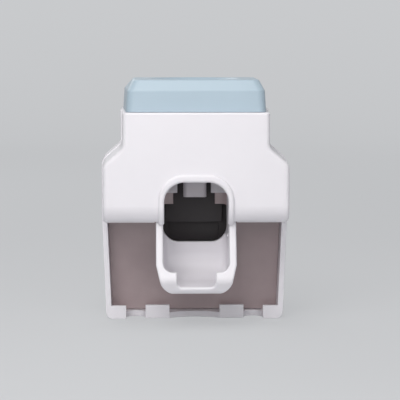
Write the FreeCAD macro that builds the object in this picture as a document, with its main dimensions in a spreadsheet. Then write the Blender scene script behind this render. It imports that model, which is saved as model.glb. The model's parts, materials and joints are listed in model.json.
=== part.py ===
import FreeCAD, Part

# Wall-hung toothpaste dispenser, as separate sub-parts, in millimetres.
# The origin is the centre of the adhesive pad's back face, on the wall. X runs to the right as seen
# from the room, Y into the wall and Z up. A depth is counted from the wall towards the room, along -Y.

import math
import os
from types import SimpleNamespace

import Sketcher
from FreeCAD import Vector

SIZES = {
    # shared
    "overrun": 4.0,             # how far a cut runs past the face that it opens
    "rest_gap": 0.3,            # between a soft or moving piece and what it rests on
    "thread_gap": 0.05,         # around a screw's shank
    "screw_head_radius": 2.6,
    "screw_head_thick": 1.6,
    "drive_radius": 1.3,        # hexagon socket, across its corners
    "drive_deep": 0.9,
    # adhesive pad and wall bracket
    "pad_half_width": 22.0,
    "pad_half_height": 30.0,
    "pad_corner": 4.0,
    "pad_thick": 1.0,
    "bracket_thick": 1.6,
    "hang_gap": 0.4,            # bracket plate to the dispenser's back
    "tongue_half": 7.0,
    "tongue_head_half": 11.0,
    "tongue_head_thick": 1.8,
    "tongue_top": 16.0,
    "tongue_bottom": -10.0,
    "tongue_play": 0.3,
    "seat_gap": 0.1,            # tongue's top end to the channel's end wall
    # rear frame
    "frame_deep": 22.5,
    "frame_wall": 2.2,
    "shoulder_run": 8.4,         # neck to side
    "foot_taper": 1.7,          # side to foot
    "boss_gap": 0.9,            # chassis to the cover bosses in the neck
    "boss_sunk": 0.2,           # those bosses into the neck wall
    "foot_level": -55.1,
    "side_level": -10.0,
    "shoulder_low": 15.7,
    "shoulder_rise": 7.3,
    "crown_rise": 0.4,          # over the chassis collar
    "foot_round": 3.0,
    "shoulder_round": 5.0,
    "neck_round": 3.5,
    "floor_thick": 2.5,
    "lip_rise": 3.3,
    "lip_thick": 2.2,
    "lip_setback": 2.0,         # the inner lips stand behind the corner lips
    "slot_inset": 13.0,         # from the side of the foot
    "slot_width": 8.5,
    "slot_reach": 8.5,
    "inner_lip_width": 10.65,
    "bay_arc_reach": 4.0,
    "web_setback": 7.0,
    "web_thick": 2.0,
    "window_margin": 1.0,       # round the panel hole
    "window_drop": 4.0,
    "window_over": 0.2,
    "boss_radius": 3.0,
    # smoked panel
    "panel_thick": 2.0,
    "panel_gap": 0.15,
    "panel_top": 9.0,
    "hole_margin": 1.4,         # beyond the arch
    "hole_low": -26.0,
    "hole_step": -5.2,
    "hole_notch_half": 9.3,
    "hole_round": 2.0,
    # back plate
    "plate_thick": 1.6,
    "plate_gap": 0.2,
    "channel_lip": 1.0,
    "channel_wall": 1.5,
    "channel_below": 4.0,       # below the tongue
    "exit_play": 4.0,           # window longer than the tongue
    "plate_screw_inset": 7.7,
    "plate_screw_rise": 11.1,   # from the foot
    "plate_screw_high": 4.0,
    "plate_screw_radius": 1.25,
    "plate_screw_long": 6.0,
    # front cover
    "cover_reveal": 0.4,        # the cover's back edge stands inside the frame's outline
    "cover_draft": 1.5,         # degrees
    "cover_low": -10.4,
    "cover_wall": 2.0,
    "cover_foot_round": 7.5,
    "cover_side_round": 1.8,
    "cover_crown_round": 0.8,
    "ledge_thick": 1.4,         # shelf inside the crown, under the cap
    "arch_overlap": 0.45,       # arch inside the arms
    "arch_top": 8.0,
    "arch_round": 8.5,
    "rim_width": 2.4,
    "rim_crown": 3.2,
    "rim_raise": 1.6,
    "rim_round": 1.0,
    "arm_slot_gap": 0.5,
    "arm_slot_front_gap": 0.9,
    "cover_screw_inset": 6.2,
    "cover_screw_rise": 3.6,    # lower pair, from the panel top
    "cover_screw_over": 1.0,    # upper pair, from the deck
    "cover_screw_radius": 1.5,
    "cover_screw_long": 26.0,
    # pump chassis
    "wall_over": 1.8,           # chassis wall above the deck
    "chassis_wall": 3.0,        # in front of the panel
    "tab_gap": 2.5,             # beside the nozzle
    "tab_inset": 4.4,
    "deck_thick": 3.0,
    "deck_play": 1.8,           # deck behind the arms
    "nose_play": 1.45,          # deck nose between the arms
    "nose_clear": 1.5,          # deck nose behind the pin
    "shelf_level": 7.0,
    "shelf_thick": 2.5,
    "shelf_play": 2.05,         # shelf between the arms
    "cheek_thick": 2.8,
    "cheek_drop": 11.5,         # below the pin
    "cheek_end": 5.0,           # in front of the pin
    "collar_radius": 10.7,
    "collar_wall": 2.0,
    "collar_rise": 4.0,
    "inlet_radius": 4.2,
    "chassis_screw_inset": 4.4,
    "chassis_screw_rise": 3.5,  # from the shelf
    "chassis_screw_drop": 3.0,  # from the deck
    "chassis_screw_radius": 1.25,
    "chassis_screw_long": 6.5,
    "ear_inner": 3.8,
    "ear_thick": 1.2,
    "ear_drop": 1.7,
    "ear_long": 1.6,
    # paste path, on one upright axis
    "bulb_radius": 10.7,
    "bulb_tall": 20.5,
    "sleeve_bore": 6.25,
    "sleeve_bore_long": 7.0,
    "sleeve_stop_rise": 3.0,    # from the deck
    "flange_setback": 0.3,      # inside the collar
    "sleeve_flange_thick": 1.2,
    "sleeve_tip_radius": 8.0,
    "sleeve_gap": 0.15,
    "seal_wire": 0.55,
    "seal_rise": 2.0,           # from the deck
    "flap_radius": 5.8,
    "flap_thick": 0.9,
    "flap_gap": 0.2,
    "flap_knuckle": 0.55,
    "flap_pin_gap": 0.05,
    "bulb_wall": 2.0,
    "valve_flange": 6.2,
    "valve_flange_thick": 1.2,
    "valve_radius": 3.6,
    "valve_bore": 2.2,
    "valve_drop": 4.4,          # below the shelf
    "valve_tip": 1.4,
    "valve_slit": 0.5,
    "neck_gap": 0.1,
    "neck_wall": 1.0,
    "nozzle_half_width": 5.0,
    "nozzle_half_deep": 5.0,
    "nozzle_drop": 7.4,         # below the shelf
    "nozzle_round": 1.6,
    "nozzle_floor": 1.4,
    "nozzle_mouth_half": 2.6,
    "nozzle_mouth_deep": 1.6,
    # presser and its guide rods
    "presser_thick": 2.8,
    "rod_edge": 1.15,           # presser beyond the rods
    "presser_foot_gap": 1.7,
    "presser_head_gap": 1.2,
    "presser_round": 2.0,
    "rod_radius": 0.9,
    "rod_clear": 0.75,          # rods beside the bulb
    "rod_gap": 0.05,
    "rod_sunk": 3.5,
    "rod_proud": 0.8,
    # hinge
    "pivot_rise": 0.5,          # above the deck
    "pin_radius": 1.5,
    "pin_gap": 0.03,
    "pin_proud": 1.3,
    "clip_thick": 0.6,
    "clip_gap": 0.1,
    "clip_radius": 2.8,
    "clip_seat_radius": 1.1,
    "clip_mouth_half": 0.8,
    "bush_radius": 2.5,
    "bush_flange_radius": 3.6,
    "bush_flange_thick": 0.6,
    # return springs
    "spring_wire": 0.25,
    "spring_mean": 2.2,
    "spring_pitch": 0.95,
    "spring_leg": 7.0,
    "spring_peg": 0.7,
    "spring_gap": 0.1,
    "spring_play": 0.1625,       # coil beside the bush
    # push cup with its arms
    "presser_play": 0.55,       # presser between the arms
    "cup_wall": 3.05,
    "cup_low": -39.5,
    "cup_taper_rise": 12.3,     # this and the next rises are from the foot of the cup
    "cup_foot_taper": 3.1,
    "cup_foot_round": 7.5,
    "cup_foot_sink": 0.3,       # the corner rounds would meet this far below the flat foot
    "cup_back_wall": 2.5,
    "cup_back_rise": 19.0,
    "cup_back_round": 7.0,
    "cup_heel_rise": 6.5,
    "cup_heel_reach": 6.0,
    "cup_heel_round": 4.0,
    "cup_chin_proud": 2.9,      # in front of the rim
    "cup_chin_rise": 6.0,
    "cup_chin_round": 3.5,
    "cup_toe_setback": 3.7,
    "cup_toe_round": 3.0,
    "cup_front_wall": 2.4,
    "cup_front_rise": 9.5,
    "cup_front_round": 4.0,
    "cup_scoop_round": 11.0,
    "cup_floor": 3.1,
    "cup_bed_gap": 0.3,         # the bed's side rounds end this far below the chin
    "notch_half": 8.25,
    "notch_round": 2.4,
    "rim_soft": 0.8,
    "arm_front_level": -6.0,
    "arm_width": 10.4,
    "arm_round": 5.0,
    "arm_elbow_level": 10.0,
    "arm_waist_level": -3.0,
    "bar_radius": 2.0,
    "bar_rise": 1.8,            # above the foot of the presser
    "bar_gap": 0.2,
    # bumpers
    "bumper_radius": 1.4,
    "bumper_level": 20.0,
    "bumper_gap": 0.2,
    "bumper_long": 4.6,
    # top cap
    "cap_reveal_front": 2.6,    # inside the neck
    "cap_reveal_rear": 0.7,
    "cap_rear_setback": 1.0,
    "cap_front_setback": 3.6,
    "cap_gap": 0.1,
    "cap_face": 9.0,
    "cap_rise": 4.6,
    "cap_face_draft": 0.55,
    "cap_chamfer_side": 2.25,
    "cap_chamfer_front": 3.85,
    "cap_corner": 3.5,
    "cap_wall": 2.0,
    "cap_edge_round": 1.2,
    "dish_run": 7.4,            # mouth to the dish's edge
    "dish_deep": 5.6,
    "mouth_radius": 11.6,
    "skirt_drop": 2.2,
    "skirt_wall": 1.6,
    "skirt_clear": 4.7,         # inside the neck
    "skirt_rear_clear": 1.2,    # in front of the web
    "skirt_front_clear": 3.4,   # behind the inside of the cover
    "cap_seal_wall": 2.6,
    "cap_seal_thick": 1.2,
    "cap_seal_inset": 1.2,
}

doc = FreeCAD.newDocument("toothpaste_dispenser")
sheet = doc.addObject("Spreadsheet::Sheet", "Sizes")
for row, (alias, value) in enumerate(SIZES.items(), start=1):
    sheet.set(f"A{row}", alias)
    sheet.set(f"B{row}", str(value))
    sheet.setAlias(f"B{row}", alias)
doc.recompute()


class Length:
    """A length known both as a number and as the expression that ties it to the sheet."""

    def __init__(self, value, text):
        self.value = value
        self.text = text

    def __add__(self, other):
        other = as_length(other)
        return Length(self.value + other.value, f"({self.text} + {other.text})")

    def __sub__(self, other):
        other = as_length(other)
        return Length(self.value - other.value, f"({self.text} - {other.text})")

    def __mul__(self, factor):
        factor = as_length(factor)
        return Length(self.value * factor.value, f"({self.text} * {factor.text})")

    def __truediv__(self, factor):
        factor = as_length(factor)
        return Length(self.value / factor.value, f"({self.text} / {factor.text})")

    def __neg__(self):
        return as_length(0) - self


def as_length(number):
    if isinstance(number, Length):
        return number
    return Length(float(number), str(number))


def half_turn_share(run, rise):
    """How far a corner shifts along its upright side, for each unit that both its sides move in."""
    angle = math.atan2(run.value, rise.value)
    return Length(math.tan(angle / 2), f"tan(atan({run.text} / {rise.text}) / 2)")


def slope(angle):
    return Length(math.tan(math.radians(angle.value)), f"tan({angle.text} * 1 deg)")


S = SimpleNamespace(**{alias: Length(float(sheet.get(alias)), f"Sizes.{alias}") for alias in SIZES})
ZERO = as_length(0)
spring_quarters = 9  # quarter turns in each return spring


def tie(thing, path, length):
    thing.setExpression(path, length.text)


def new_body(label):
    body = doc.addObject("PartDesign::Body", label)
    body.Label = label
    body.AllowCompound = True
    return body


def disc(u, v, radius):
    return ("disc", as_length(u), as_length(v), radius)


def hexagon(u, v, radius):
    """Six corners, with one pair across."""
    turns = [math.radians(60 * step) for step in range(6)]
    return [(u + radius * math.cos(turn), v + radius * math.sin(turn)) for turn in turns]


def box(left, low, right, high, radius=None):
    return [(left, low, radius), (right, low, radius), (right, high, radius), (left, high, radius)]


def mirrored(loop):
    """The same loop on the other side of X = 0."""
    if loop[0] == "disc":
        return disc(-loop[1], loop[2], loop[3])
    return [(-corner[0], *corner[1:]) for corner in reversed(loop)]


def pair(loop):
    return [loop, mirrored(loop)]


class Drawing:
    """A sketch on one of a body's own origin planes, with every corner tied to the sheet."""

    def __init__(self, body, role, offset, loops, shift=None):
        self.sketch = body.newObject("Sketcher::SketchObject", "Sketch")
        plane = next(item for item in body.Origin.OriginFeatures if item.Role == role)
        self.sketch.AttachmentSupport = [(plane, "")]
        self.sketch.MapMode = "FlatFace"
        tie(self.sketch, "AttachmentOffset.Base.z", as_length(offset))
        if shift is not None:
            tie(self.sketch, "AttachmentOffset.Base.x", shift)
        self.rules = []
        self.ties = {}
        for loop in loops:
            if loop[0] == "disc":
                self.add_disc(*loop[1:])
            else:
                self.add_loop(loop)
        self.sketch.addConstraint(self.rules)
        for index, length in self.ties.items():
            tie(self.sketch, f"Constraints[{index}]", length)

    def rule(self, *parts):
        self.rules.append(Sketcher.Constraint(*parts))

    def tied_rule(self, length, *parts):
        self.ties[len(self.rules)] = length
        self.rule(*parts, length.value)

    def hold(self, item, end, u, v):
        """Fix one point of an item at (u, v) from the sketch's origin."""
        if u is ZERO:
            self.rule("PointOnObject", item, end, -2)
        else:
            self.tied_rule(u, "DistanceX", -1, 1, item, end)
        if v is ZERO:
            self.rule("PointOnObject", item, end, -1)
        else:
            self.tied_rule(v, "DistanceY", -1, 1, item, end)

    def add_disc(self, u, v, radius):
        circle = Part.Circle(Vector(u.value, v.value, 0), Vector(0, 0, 1), radius.value)
        item = self.sketch.addGeometry(circle, False)
        self.tied_rule(radius, "Radius", item)
        self.hold(item, 3, u, v)

    def add_loop(self, loop):
        corners = [Corner(*corner) for corner in loop]
        for corner, before, after in zip(corners, corners[-1:] + corners[:-1], corners[1:] + corners[:1]):
            corner.meet(before.spot, after.spot)
        sides = zip(corners, corners[1:] + corners[:1])
        lines = [self.sketch.addGeometry(Part.LineSegment(a.leave, b.enter), False) for a, b in sides]
        for corner, into, out in zip(corners, lines[-1:] + lines[:-1], lines):
            if corner.radius is None:
                self.rule("Coincident", into, 2, out, 1)
                self.hold(out, 1, corner.u, corner.v)
            else:
                arc = self.sketch.addGeometry(corner.arc(), False)
                mark = self.sketch.addGeometry(Part.Point(corner.spot), True)
                first, last = (1, 2) if corner.left else (2, 1)
                self.rule("Tangent", into, 2, arc, first)
                self.rule("Tangent", arc, last, out, 1)
                self.tied_rule(corner.radius, "Radius", arc)
                self.rule("PointOnObject", mark, 1, into)
                self.rule("PointOnObject", mark, 1, out)
                self.hold(mark, 1, corner.u, corner.v)


class Corner:
    """One corner of a loop, sharp or with a radius."""

    def __init__(self, u, v, radius=None):
        self.u = as_length(u)
        self.v = as_length(v)
        self.radius = radius
        self.spot = Vector(self.u.value, self.v.value, 0)

    def meet(self, before, after):
        back = (before - self.spot).normalize()
        ahead = (after - self.spot).normalize()
        self.left = ahead.cross(back).z > 0
        self.enter = self.leave = self.spot
        if self.radius is not None:
            half = back.getAngle(ahead) / 2
            reach = self.radius.value / math.tan(half)
            self.enter = self.spot + back * reach
            self.leave = self.spot + ahead * reach
            self.centre = self.spot + (back + ahead).normalize() * (self.radius.value / math.sin(half))

    def arc(self):
        first, last = (self.enter, self.leave) if self.left else (self.leave, self.enter)
        angles = [math.atan2(end.y - self.centre.y, end.x - self.centre.x) for end in (first, last)]
        if angles[1] < angles[0]:
            angles[1] += 2 * math.pi
        circle = Part.Circle(self.centre, Vector(0, 0, 1), self.radius.value)
        return Part.ArcOfCircle(circle, *angles)


def settle(body, feature, was):
    """Recompute, and make sure that the feature changed the solid."""
    doc.recompute()
    if "Invalid" in feature.State or feature.Shape.isNull():
        raise RuntimeError(f"{body.Label}: {feature.Name} failed")
    if was is not None and abs(feature.Shape.Volume - was) < was * 1e-9:
        raise RuntimeError(f"{body.Label}: {feature.Name} changed nothing")
    return feature


def volume(body):
    return body.Tip.Shape.Volume if body.Tip else None


def slab(body, kind, role, near, far, loops, draft=None):
    """Add (Pad) or take away (Pocket) the loops' area between two distances along the plane's normal.

    The normals are +Z for XY, -Y for XZ (so distances are depths) and +X for YZ.
    """
    was = volume(body)
    drawing = Drawing(body, f"{role}_Plane", near, loops)
    feature = body.newObject(f"PartDesign::{kind}", kind)
    feature.Profile = drawing.sketch
    feature.Reversed = kind == "Pocket"
    tie(feature, "Length", as_length(far) - near)
    if draft is not None:
        tie(feature, "TaperAngle", draft)
    return settle(body, feature, was)


def pad(body, role, near, far, *loops, draft=None):
    return slab(body, "Pad", role, near, far, loops, draft)


def cut(body, role, near, far, *loops, draft=None):
    return slab(body, "Pocket", role, near, far, loops, draft)


def turned(body, kind, *loops):
    """Turn loops of (radius, level) about the upright axis of the paste path."""
    was = volume(body)
    drawing = Drawing(body, "YZ_Plane", ZERO, loops, shift=-S.axis_depth)
    feature = body.newObject(f"PartDesign::{kind}", kind)
    feature.Profile = drawing.sketch
    feature.ReferenceAxis = (drawing.sketch, ["V_Axis"])
    return settle(body, feature, was)


def lofted(body, kind, sections):
    """Join loops on XY planes, given as (level, loop), by a ruled loft."""
    was = volume(body)
    sketches = [Drawing(body, "XY_Plane", level, [loop]).sketch for level, loop in sections]
    feature = body.newObject(f"PartDesign::{kind}Loft", "Loft")
    feature.Profile = sketches[0]
    feature.Sections = sketches[1:]
    feature.Ruled = True
    return settle(body, feature, was)


def softened(body, radius, wanted):
    """Round the edges of the body's last feature that the test accepts."""
    base = body.Tip
    names = [f"Edge{i}" for i, edge in enumerate(base.Shape.Edges, start=1) if wanted(edge)]
    was = base.Shape.Volume
    fillet = body.newObject("PartDesign::Fillet", "Fillet")
    fillet.Base = (base, names)
    tie(fillet, "Radius", radius)
    return settle(body, fillet, was)


def close(a, b):
    return abs(a - b) < 1e-4


def at_depth(edge, depth):
    return all(close(vertex.Y, -depth.value) for vertex in edge.Vertexes)


def at_level(edge, level):
    return all(close(vertex.Z, level.value) for vertex in edge.Vertexes)


def middle(edge):
    return edge.valueAt((edge.FirstParameter + edge.LastParameter) / 2)


# depths from the wall, piece by piece: the pump sets how deep the arms and the cover stand
bracket_front = S.pad_thick + S.bracket_thick
rear_depth = bracket_front + S.hang_gap
head_rear = rear_depth + S.channel_lip + S.tongue_play
head_front = head_rear + S.tongue_head_thick
frame_front = rear_depth + S.frame_deep
web_rear = rear_depth + S.web_setback
web_front = web_rear + S.web_thick
panel_front = web_front + S.panel_thick
chassis_front = panel_front + S.chassis_wall
screw_seat = web_rear - S.screw_head_thick
S.axis_depth = chassis_front + S.rest_gap + S.bulb_radius
presser_rear = S.axis_depth + S.bulb_radius + S.rest_gap
presser_front = presser_rear + S.presser_thick
S.pivot_depth = presser_front + S.bar_gap + S.bar_radius
S.arm_front = S.pivot_depth + S.arm_width / 2
arm_rear = S.pivot_depth - S.arm_width / 2
cover_inside = S.arm_front + S.bumper_gap + S.bumper_long
cover_front = cover_inside + S.cover_wall
S.cover_deep = cover_front - frame_front
rim_front = cover_front + S.rim_raise
S.cup_back = frame_front
S.cup_chin_depth = rim_front + S.cup_chin_proud
S.cup_toe_depth = S.cup_chin_depth - S.cup_toe_setback
S.cap_front = cover_front - S.cap_front_setback
S.cap_rear = rear_depth + S.cap_rear_setback
S.skirt_front = cover_inside - S.skirt_front_clear
S.skirt_rear = web_front + S.skirt_rear_clear

# half widths, from the bulb outwards: rods, presser, arms, springs, cheeks, bosses, neck and sides
S.rod_across = S.bulb_radius + S.rod_clear + S.rod_radius
S.presser_half = S.rod_across + S.rod_edge
cup_inner = S.presser_half + S.presser_play
S.cup_half = cup_inner + S.cup_wall
S.cup_foot_half = S.cup_half - S.cup_foot_taper
flange_outer = S.cup_half + S.bush_flange_thick
coil_wide = S.spring_pitch * spring_quarters / 4 + S.spring_wire * 2
cheek_inner = flange_outer + S.spring_play + coil_wide + S.spring_gap
S.chassis_half = cheek_inner + S.cheek_thick
S.cover_screw_across_high = S.chassis_half + S.boss_gap + S.boss_radius
S.neck_half = S.cover_screw_across_high + S.boss_radius - S.boss_sunk + S.frame_wall
S.side_half = S.neck_half + S.shoulder_run
S.foot_half = S.side_half - S.foot_taper
S.cover_screw_across_low = S.side_half - S.cover_screw_inset
S.plate_screw_across = S.side_half - S.plate_screw_inset
S.chassis_screw_across = S.chassis_half - S.chassis_screw_inset
S.tab_inner = S.nozzle_half_width + S.tab_gap
S.tab_outer = S.chassis_half - S.tab_inset
S.deck_nose_half = cup_inner - S.nose_play
S.shelf_half = cup_inner - S.shelf_play
S.arch_half = cup_inner - S.arch_overlap
S.hole_half = S.arch_half + S.hole_margin
S.window_half = S.hole_half + S.window_margin
S.slot_centre = S.foot_half - S.slot_inset
S.bay_half = S.slot_centre - S.slot_width / 2 - S.inner_lip_width
S.cap_half_front = S.neck_half - S.cap_reveal_front
S.cap_half_rear = S.neck_half - S.cap_reveal_rear
S.cap_flat_half = S.cap_half_front - S.cap_face_draft - S.cap_chamfer_side
S.skirt_half = S.neck_half - S.skirt_clear
S.sleeve_flange = S.collar_radius - S.flange_setback
S.dish_radius = S.mouth_radius + S.dish_run

# levels, from the shelf under the bulb upwards, and from the feet of the frame and of the cup
shelf_top = S.shelf_level + S.shelf_thick
S.deck_level = shelf_top + S.bulb_tall
deck_top = S.deck_level + S.deck_thick
collar_top = deck_top + S.collar_rise
S.crown_level = collar_top + S.crown_rise
S.chassis_top = deck_top + S.wall_over
S.pivot_level = S.deck_level + S.pivot_rise
S.cheek_low = S.pivot_level - S.cheek_drop
S.cover_screw_high = S.deck_level + S.cover_screw_over
S.cover_screw_low = S.panel_top + S.cover_screw_rise
S.chassis_screw_high = S.deck_level - S.chassis_screw_drop
S.chassis_screw_low = shelf_top + S.chassis_screw_rise
S.presser_low = shelf_top + S.presser_foot_gap
S.presser_high = S.deck_level - S.presser_head_gap
S.rod_level = (shelf_top + S.deck_level) / 2
S.bar_level = S.presser_low + S.bar_rise
S.sleeve_stop_level = deck_top + S.sleeve_stop_rise
S.seal_level = deck_top + S.seal_rise
S.valve_low = S.shelf_level - S.valve_drop
S.nozzle_low = S.shelf_level - S.nozzle_drop
S.shoulder_high = S.shoulder_low + S.shoulder_rise
floor_level = S.foot_level + S.floor_thick
S.plate_screw_low = S.foot_level + S.plate_screw_rise
S.window_low = S.hole_low - S.window_drop
S.window_high = S.panel_top + S.window_over
S.channel_low = S.tongue_bottom - S.channel_below
S.exit_low = S.channel_low - (S.tongue_top - S.tongue_bottom) - S.exit_play
S.cup_taper_level = S.cup_low + S.cup_taper_rise
S.cup_back_top = S.cup_low + S.cup_back_rise
S.cup_heel_level = S.cup_low + S.cup_heel_rise
S.cup_chin_level = S.cup_low + S.cup_chin_rise
S.cup_front_top = S.cup_low + S.cup_front_rise
shoulder_share = half_turn_share(S.shoulder_run, S.shoulder_rise)


def body_outline(inset, low, high, foot_half):
    """The frame's outline, drawn in by an inset: foot, sides, shoulders and neck."""
    side = S.side_half - inset
    neck = S.neck_half - inset
    dip = inset * shoulder_share
    right = [
        (foot_half - inset, low),
        (side, S.side_level),
        (side, S.shoulder_low - dip, S.shoulder_round),
        (neck, S.shoulder_high - dip, S.neck_round),
        (neck, high),
    ]
    return right + [(-corner[0], *corner[1:]) for corner in reversed(right)]


def upper_outline(inset, low, high):
    """The outline above the rack, as the cover has it."""
    side = S.side_half - inset
    neck = S.neck_half - inset
    dip = inset * shoulder_share
    right = [
        (side, low),
        (side, S.shoulder_low - dip, S.shoulder_round),
        (neck, S.shoulder_high - dip, S.neck_round),
        (neck, high),
    ]
    return right + [(-corner[0], *corner[1:]) for corner in reversed(right)]


def cup_front_at(level):
    """Depth of the cup's sloping front face at a level."""
    share = (S.arm_front_level - level) / (S.arm_front_level - S.cup_chin_level)
    return S.arm_front + (S.cup_chin_depth - S.arm_front) * share


def arch_loop(half, low, top, radius):
    return [(-half, low), (half, low), (half, top, radius), (-half, top, radius)]


def skirt_loop(inset):
    """The plan of the skirt that drops inside the crown, drawn in by an inset."""
    half = S.skirt_half - inset
    return box(-half, -(S.skirt_front - inset), half, -(S.skirt_rear + inset), S.cap_corner)


def screws(label, spots, radius, head_depth, long):
    """Socket screws that point towards the room: heads, shanks and sockets at each (x, z)."""
    body = new_body(label)
    seat = head_depth + S.screw_head_thick
    pad(body, "XZ", head_depth, seat, *[disc(x, z, S.screw_head_radius) for x, z in spots])
    pad(body, "XZ", seat, seat + long, *[disc(x, z, radius) for x, z in spots])
    cut(body, "XZ", head_depth, head_depth + S.drive_deep, *[hexagon(x, z, S.drive_radius) for x, z in spots])
    return body


def four(across_low, low, across_high, high):
    return [(-across_low, low), (across_low, low), (-across_high, high), (across_high, high)]


plate_spots = four(S.plate_screw_across, S.plate_screw_low, S.plate_screw_across, S.plate_screw_high)
cover_spots = four(S.cover_screw_across_low, S.cover_screw_low, S.cover_screw_across_high, S.cover_screw_high)
chassis_spots = four(
    S.chassis_screw_across, S.chassis_screw_low, S.chassis_screw_across, S.chassis_screw_high
)

# adhesive pad and wall bracket: a T-shaped tongue that the dispenser drops on to
plate_loop = box(-S.pad_half_width, -S.pad_half_height, S.pad_half_width, S.pad_half_height, S.pad_corner)
adhesive_pad = new_body("adhesive_pad")
pad(adhesive_pad, "XZ", ZERO, S.pad_thick, plate_loop)

wall_bracket = new_body("wall_bracket")
pad(wall_bracket, "XZ", S.pad_thick, bracket_front, plate_loop)
pad(
    wall_bracket, "XZ", bracket_front, head_rear,
    box(-S.tongue_half, S.tongue_bottom, S.tongue_half, S.tongue_top),
)
pad(
    wall_bracket, "XZ", head_rear, head_front,
    box(-S.tongue_head_half, S.tongue_bottom, S.tongue_head_half, S.tongue_top),
)

# rear frame: a band round a web, with the rack at its foot
rear_frame = new_body("rear_frame")
outer = body_outline(ZERO, S.foot_level, S.crown_level, S.foot_half)
outer[0] = (*outer[0], S.foot_round)
outer[-1] = (*outer[-1], S.foot_round)
pad(rear_frame, "XZ", rear_depth, frame_front, outer)
lip_level = floor_level + S.lip_rise
above_crown = S.crown_level + S.overrun
cut(
    rear_frame, "XZ", web_front, frame_front,
    body_outline(S.frame_wall, lip_level, above_crown, S.foot_half),
)
rack_half = S.foot_half - S.frame_wall
cut(
    rear_frame, "XZ", web_front, frame_front - S.lip_thick - S.lip_setback,
    box(-rack_half, floor_level, rack_half, lip_level),
)
corner_lip_inner = S.slot_centre + S.slot_width / 2
cut(
    rear_frame, "XZ", frame_front - S.lip_thick - S.lip_setback, frame_front - S.lip_thick,
    *pair(box(corner_lip_inner, floor_level, rack_half, lip_level)),
)
cut(
    rear_frame, "XZ", rear_depth, web_rear,
    body_outline(S.frame_wall, floor_level, S.crown_level - S.frame_wall, S.foot_half),
)
cut(
    rear_frame, "XZ", web_rear, web_front,
    box(-S.window_half, S.window_low, S.window_half, S.window_high, S.hole_round),
)
slot_end = -(frame_front - S.slot_reach + S.slot_width / 2)
slot_loop = box(
    S.slot_centre - S.slot_width / 2, -(frame_front + S.overrun), S.slot_centre + S.slot_width / 2, slot_end
)
below_foot = S.foot_level - S.overrun
cut(rear_frame, "XY", below_foot, lip_level + S.overrun, *pair(slot_loop))
cut(
    rear_frame, "XY", below_foot, lip_level + S.overrun,
    *pair(disc(S.slot_centre, slot_end, S.slot_width / 2)),
)
inner_front = frame_front - S.lip_setback
cut(
    rear_frame, "XY", below_foot, lip_level + S.overrun,
    box(-S.slot_centre, -(frame_front + S.overrun), S.slot_centre, -inner_front),
)
bay_radius = (S.bay_half * S.bay_half + S.bay_arc_reach * S.bay_arc_reach) / (S.bay_arc_reach * 2)
cut(
    rear_frame, "XY", below_foot, lip_level + S.overrun,
    disc(ZERO, -(inner_front - S.bay_arc_reach + bay_radius), bay_radius),
)
cut(
    rear_frame, "XY", floor_level, lip_level + S.overrun,
    box(-S.bay_half, -frame_front, S.bay_half, -(inner_front - S.lip_thick)),
)
pad(rear_frame, "XZ", web_front, frame_front, *[disc(x, z, S.boss_radius) for x, z in cover_spots])
pad(
    rear_frame, "XZ", rear_depth + S.plate_thick, web_rear,
    *[disc(x, z, S.boss_radius) for x, z in plate_spots],
)
cut(
    rear_frame, "XZ", web_rear, frame_front,
    *[disc(x, z, S.cover_screw_radius + S.thread_gap) for x, z in cover_spots],
)
cut(
    rear_frame, "XZ", web_rear, web_front,
    *[disc(x, z, S.chassis_screw_radius + S.thread_gap) for x, z in chassis_spots],
)
cut(
    rear_frame, "XZ", rear_depth + S.plate_thick, web_front,
    *[disc(x, z, S.plate_screw_radius + S.thread_gap) for x, z in plate_spots],
)

# smoked panel: lies on the web, with a stepped window that opens at its top edge
smoked_panel = new_body("smoked_panel")
panel_inset = S.frame_wall + S.panel_gap
panel_side = S.side_half - panel_inset
panel_right = [
    (S.foot_half - panel_inset, floor_level + S.panel_gap),
    (panel_side, S.side_level),
    (panel_side, S.panel_top),
]
pad(
    smoked_panel, "XZ", web_front, panel_front,
    panel_right + [(-corner[0], corner[1]) for corner in reversed(panel_right)],
)
cut(
    smoked_panel, "XZ", web_front, panel_front,
    box(-S.hole_half, S.hole_low, S.hole_half, S.hole_step, S.hole_round),
)
cut(
    smoked_panel, "XZ", web_front, panel_front,
    box(-S.hole_notch_half, S.hole_low, S.hole_notch_half, S.panel_top + S.overrun),
)

# back plate: closes the frame's back and holds the channel for the tongue
back_plate = new_body("back_plate")
plate_front = rear_depth + S.plate_thick
plate_inset = S.frame_wall + S.plate_gap
pad(
    back_plate, "XZ", rear_depth, plate_front,
    body_outline(plate_inset, floor_level + S.plate_gap, S.crown_level - plate_inset, S.foot_half),
)
channel_half = S.tongue_head_half + S.tongue_play
channel_top = S.tongue_top + S.seat_gap
channel_deep = head_front + S.tongue_play
block_half = channel_half + S.channel_wall
block_front = channel_deep + S.channel_wall
pad(
    back_plate, "XZ", rear_depth, block_front,
    box(-block_half, S.channel_low, block_half, channel_top + S.channel_wall),
)
cut(
    back_plate, "XZ", rear_depth + S.channel_lip, channel_deep,
    box(-channel_half, S.channel_low - S.overrun, channel_half, channel_top),
)
neck_slot = S.tongue_half + S.tongue_play
cut(
    back_plate, "XZ", rear_depth, rear_depth + S.channel_lip,
    box(-neck_slot, S.channel_low - S.overrun, neck_slot, channel_top),
)
cut(back_plate, "XZ", rear_depth, plate_front, box(-channel_half, S.exit_low, channel_half, S.channel_low))
cut(
    back_plate, "XZ", rear_depth, plate_front,
    *[disc(x, z, S.plate_screw_radius + S.thread_gap) for x, z in plate_spots],
)

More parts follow.
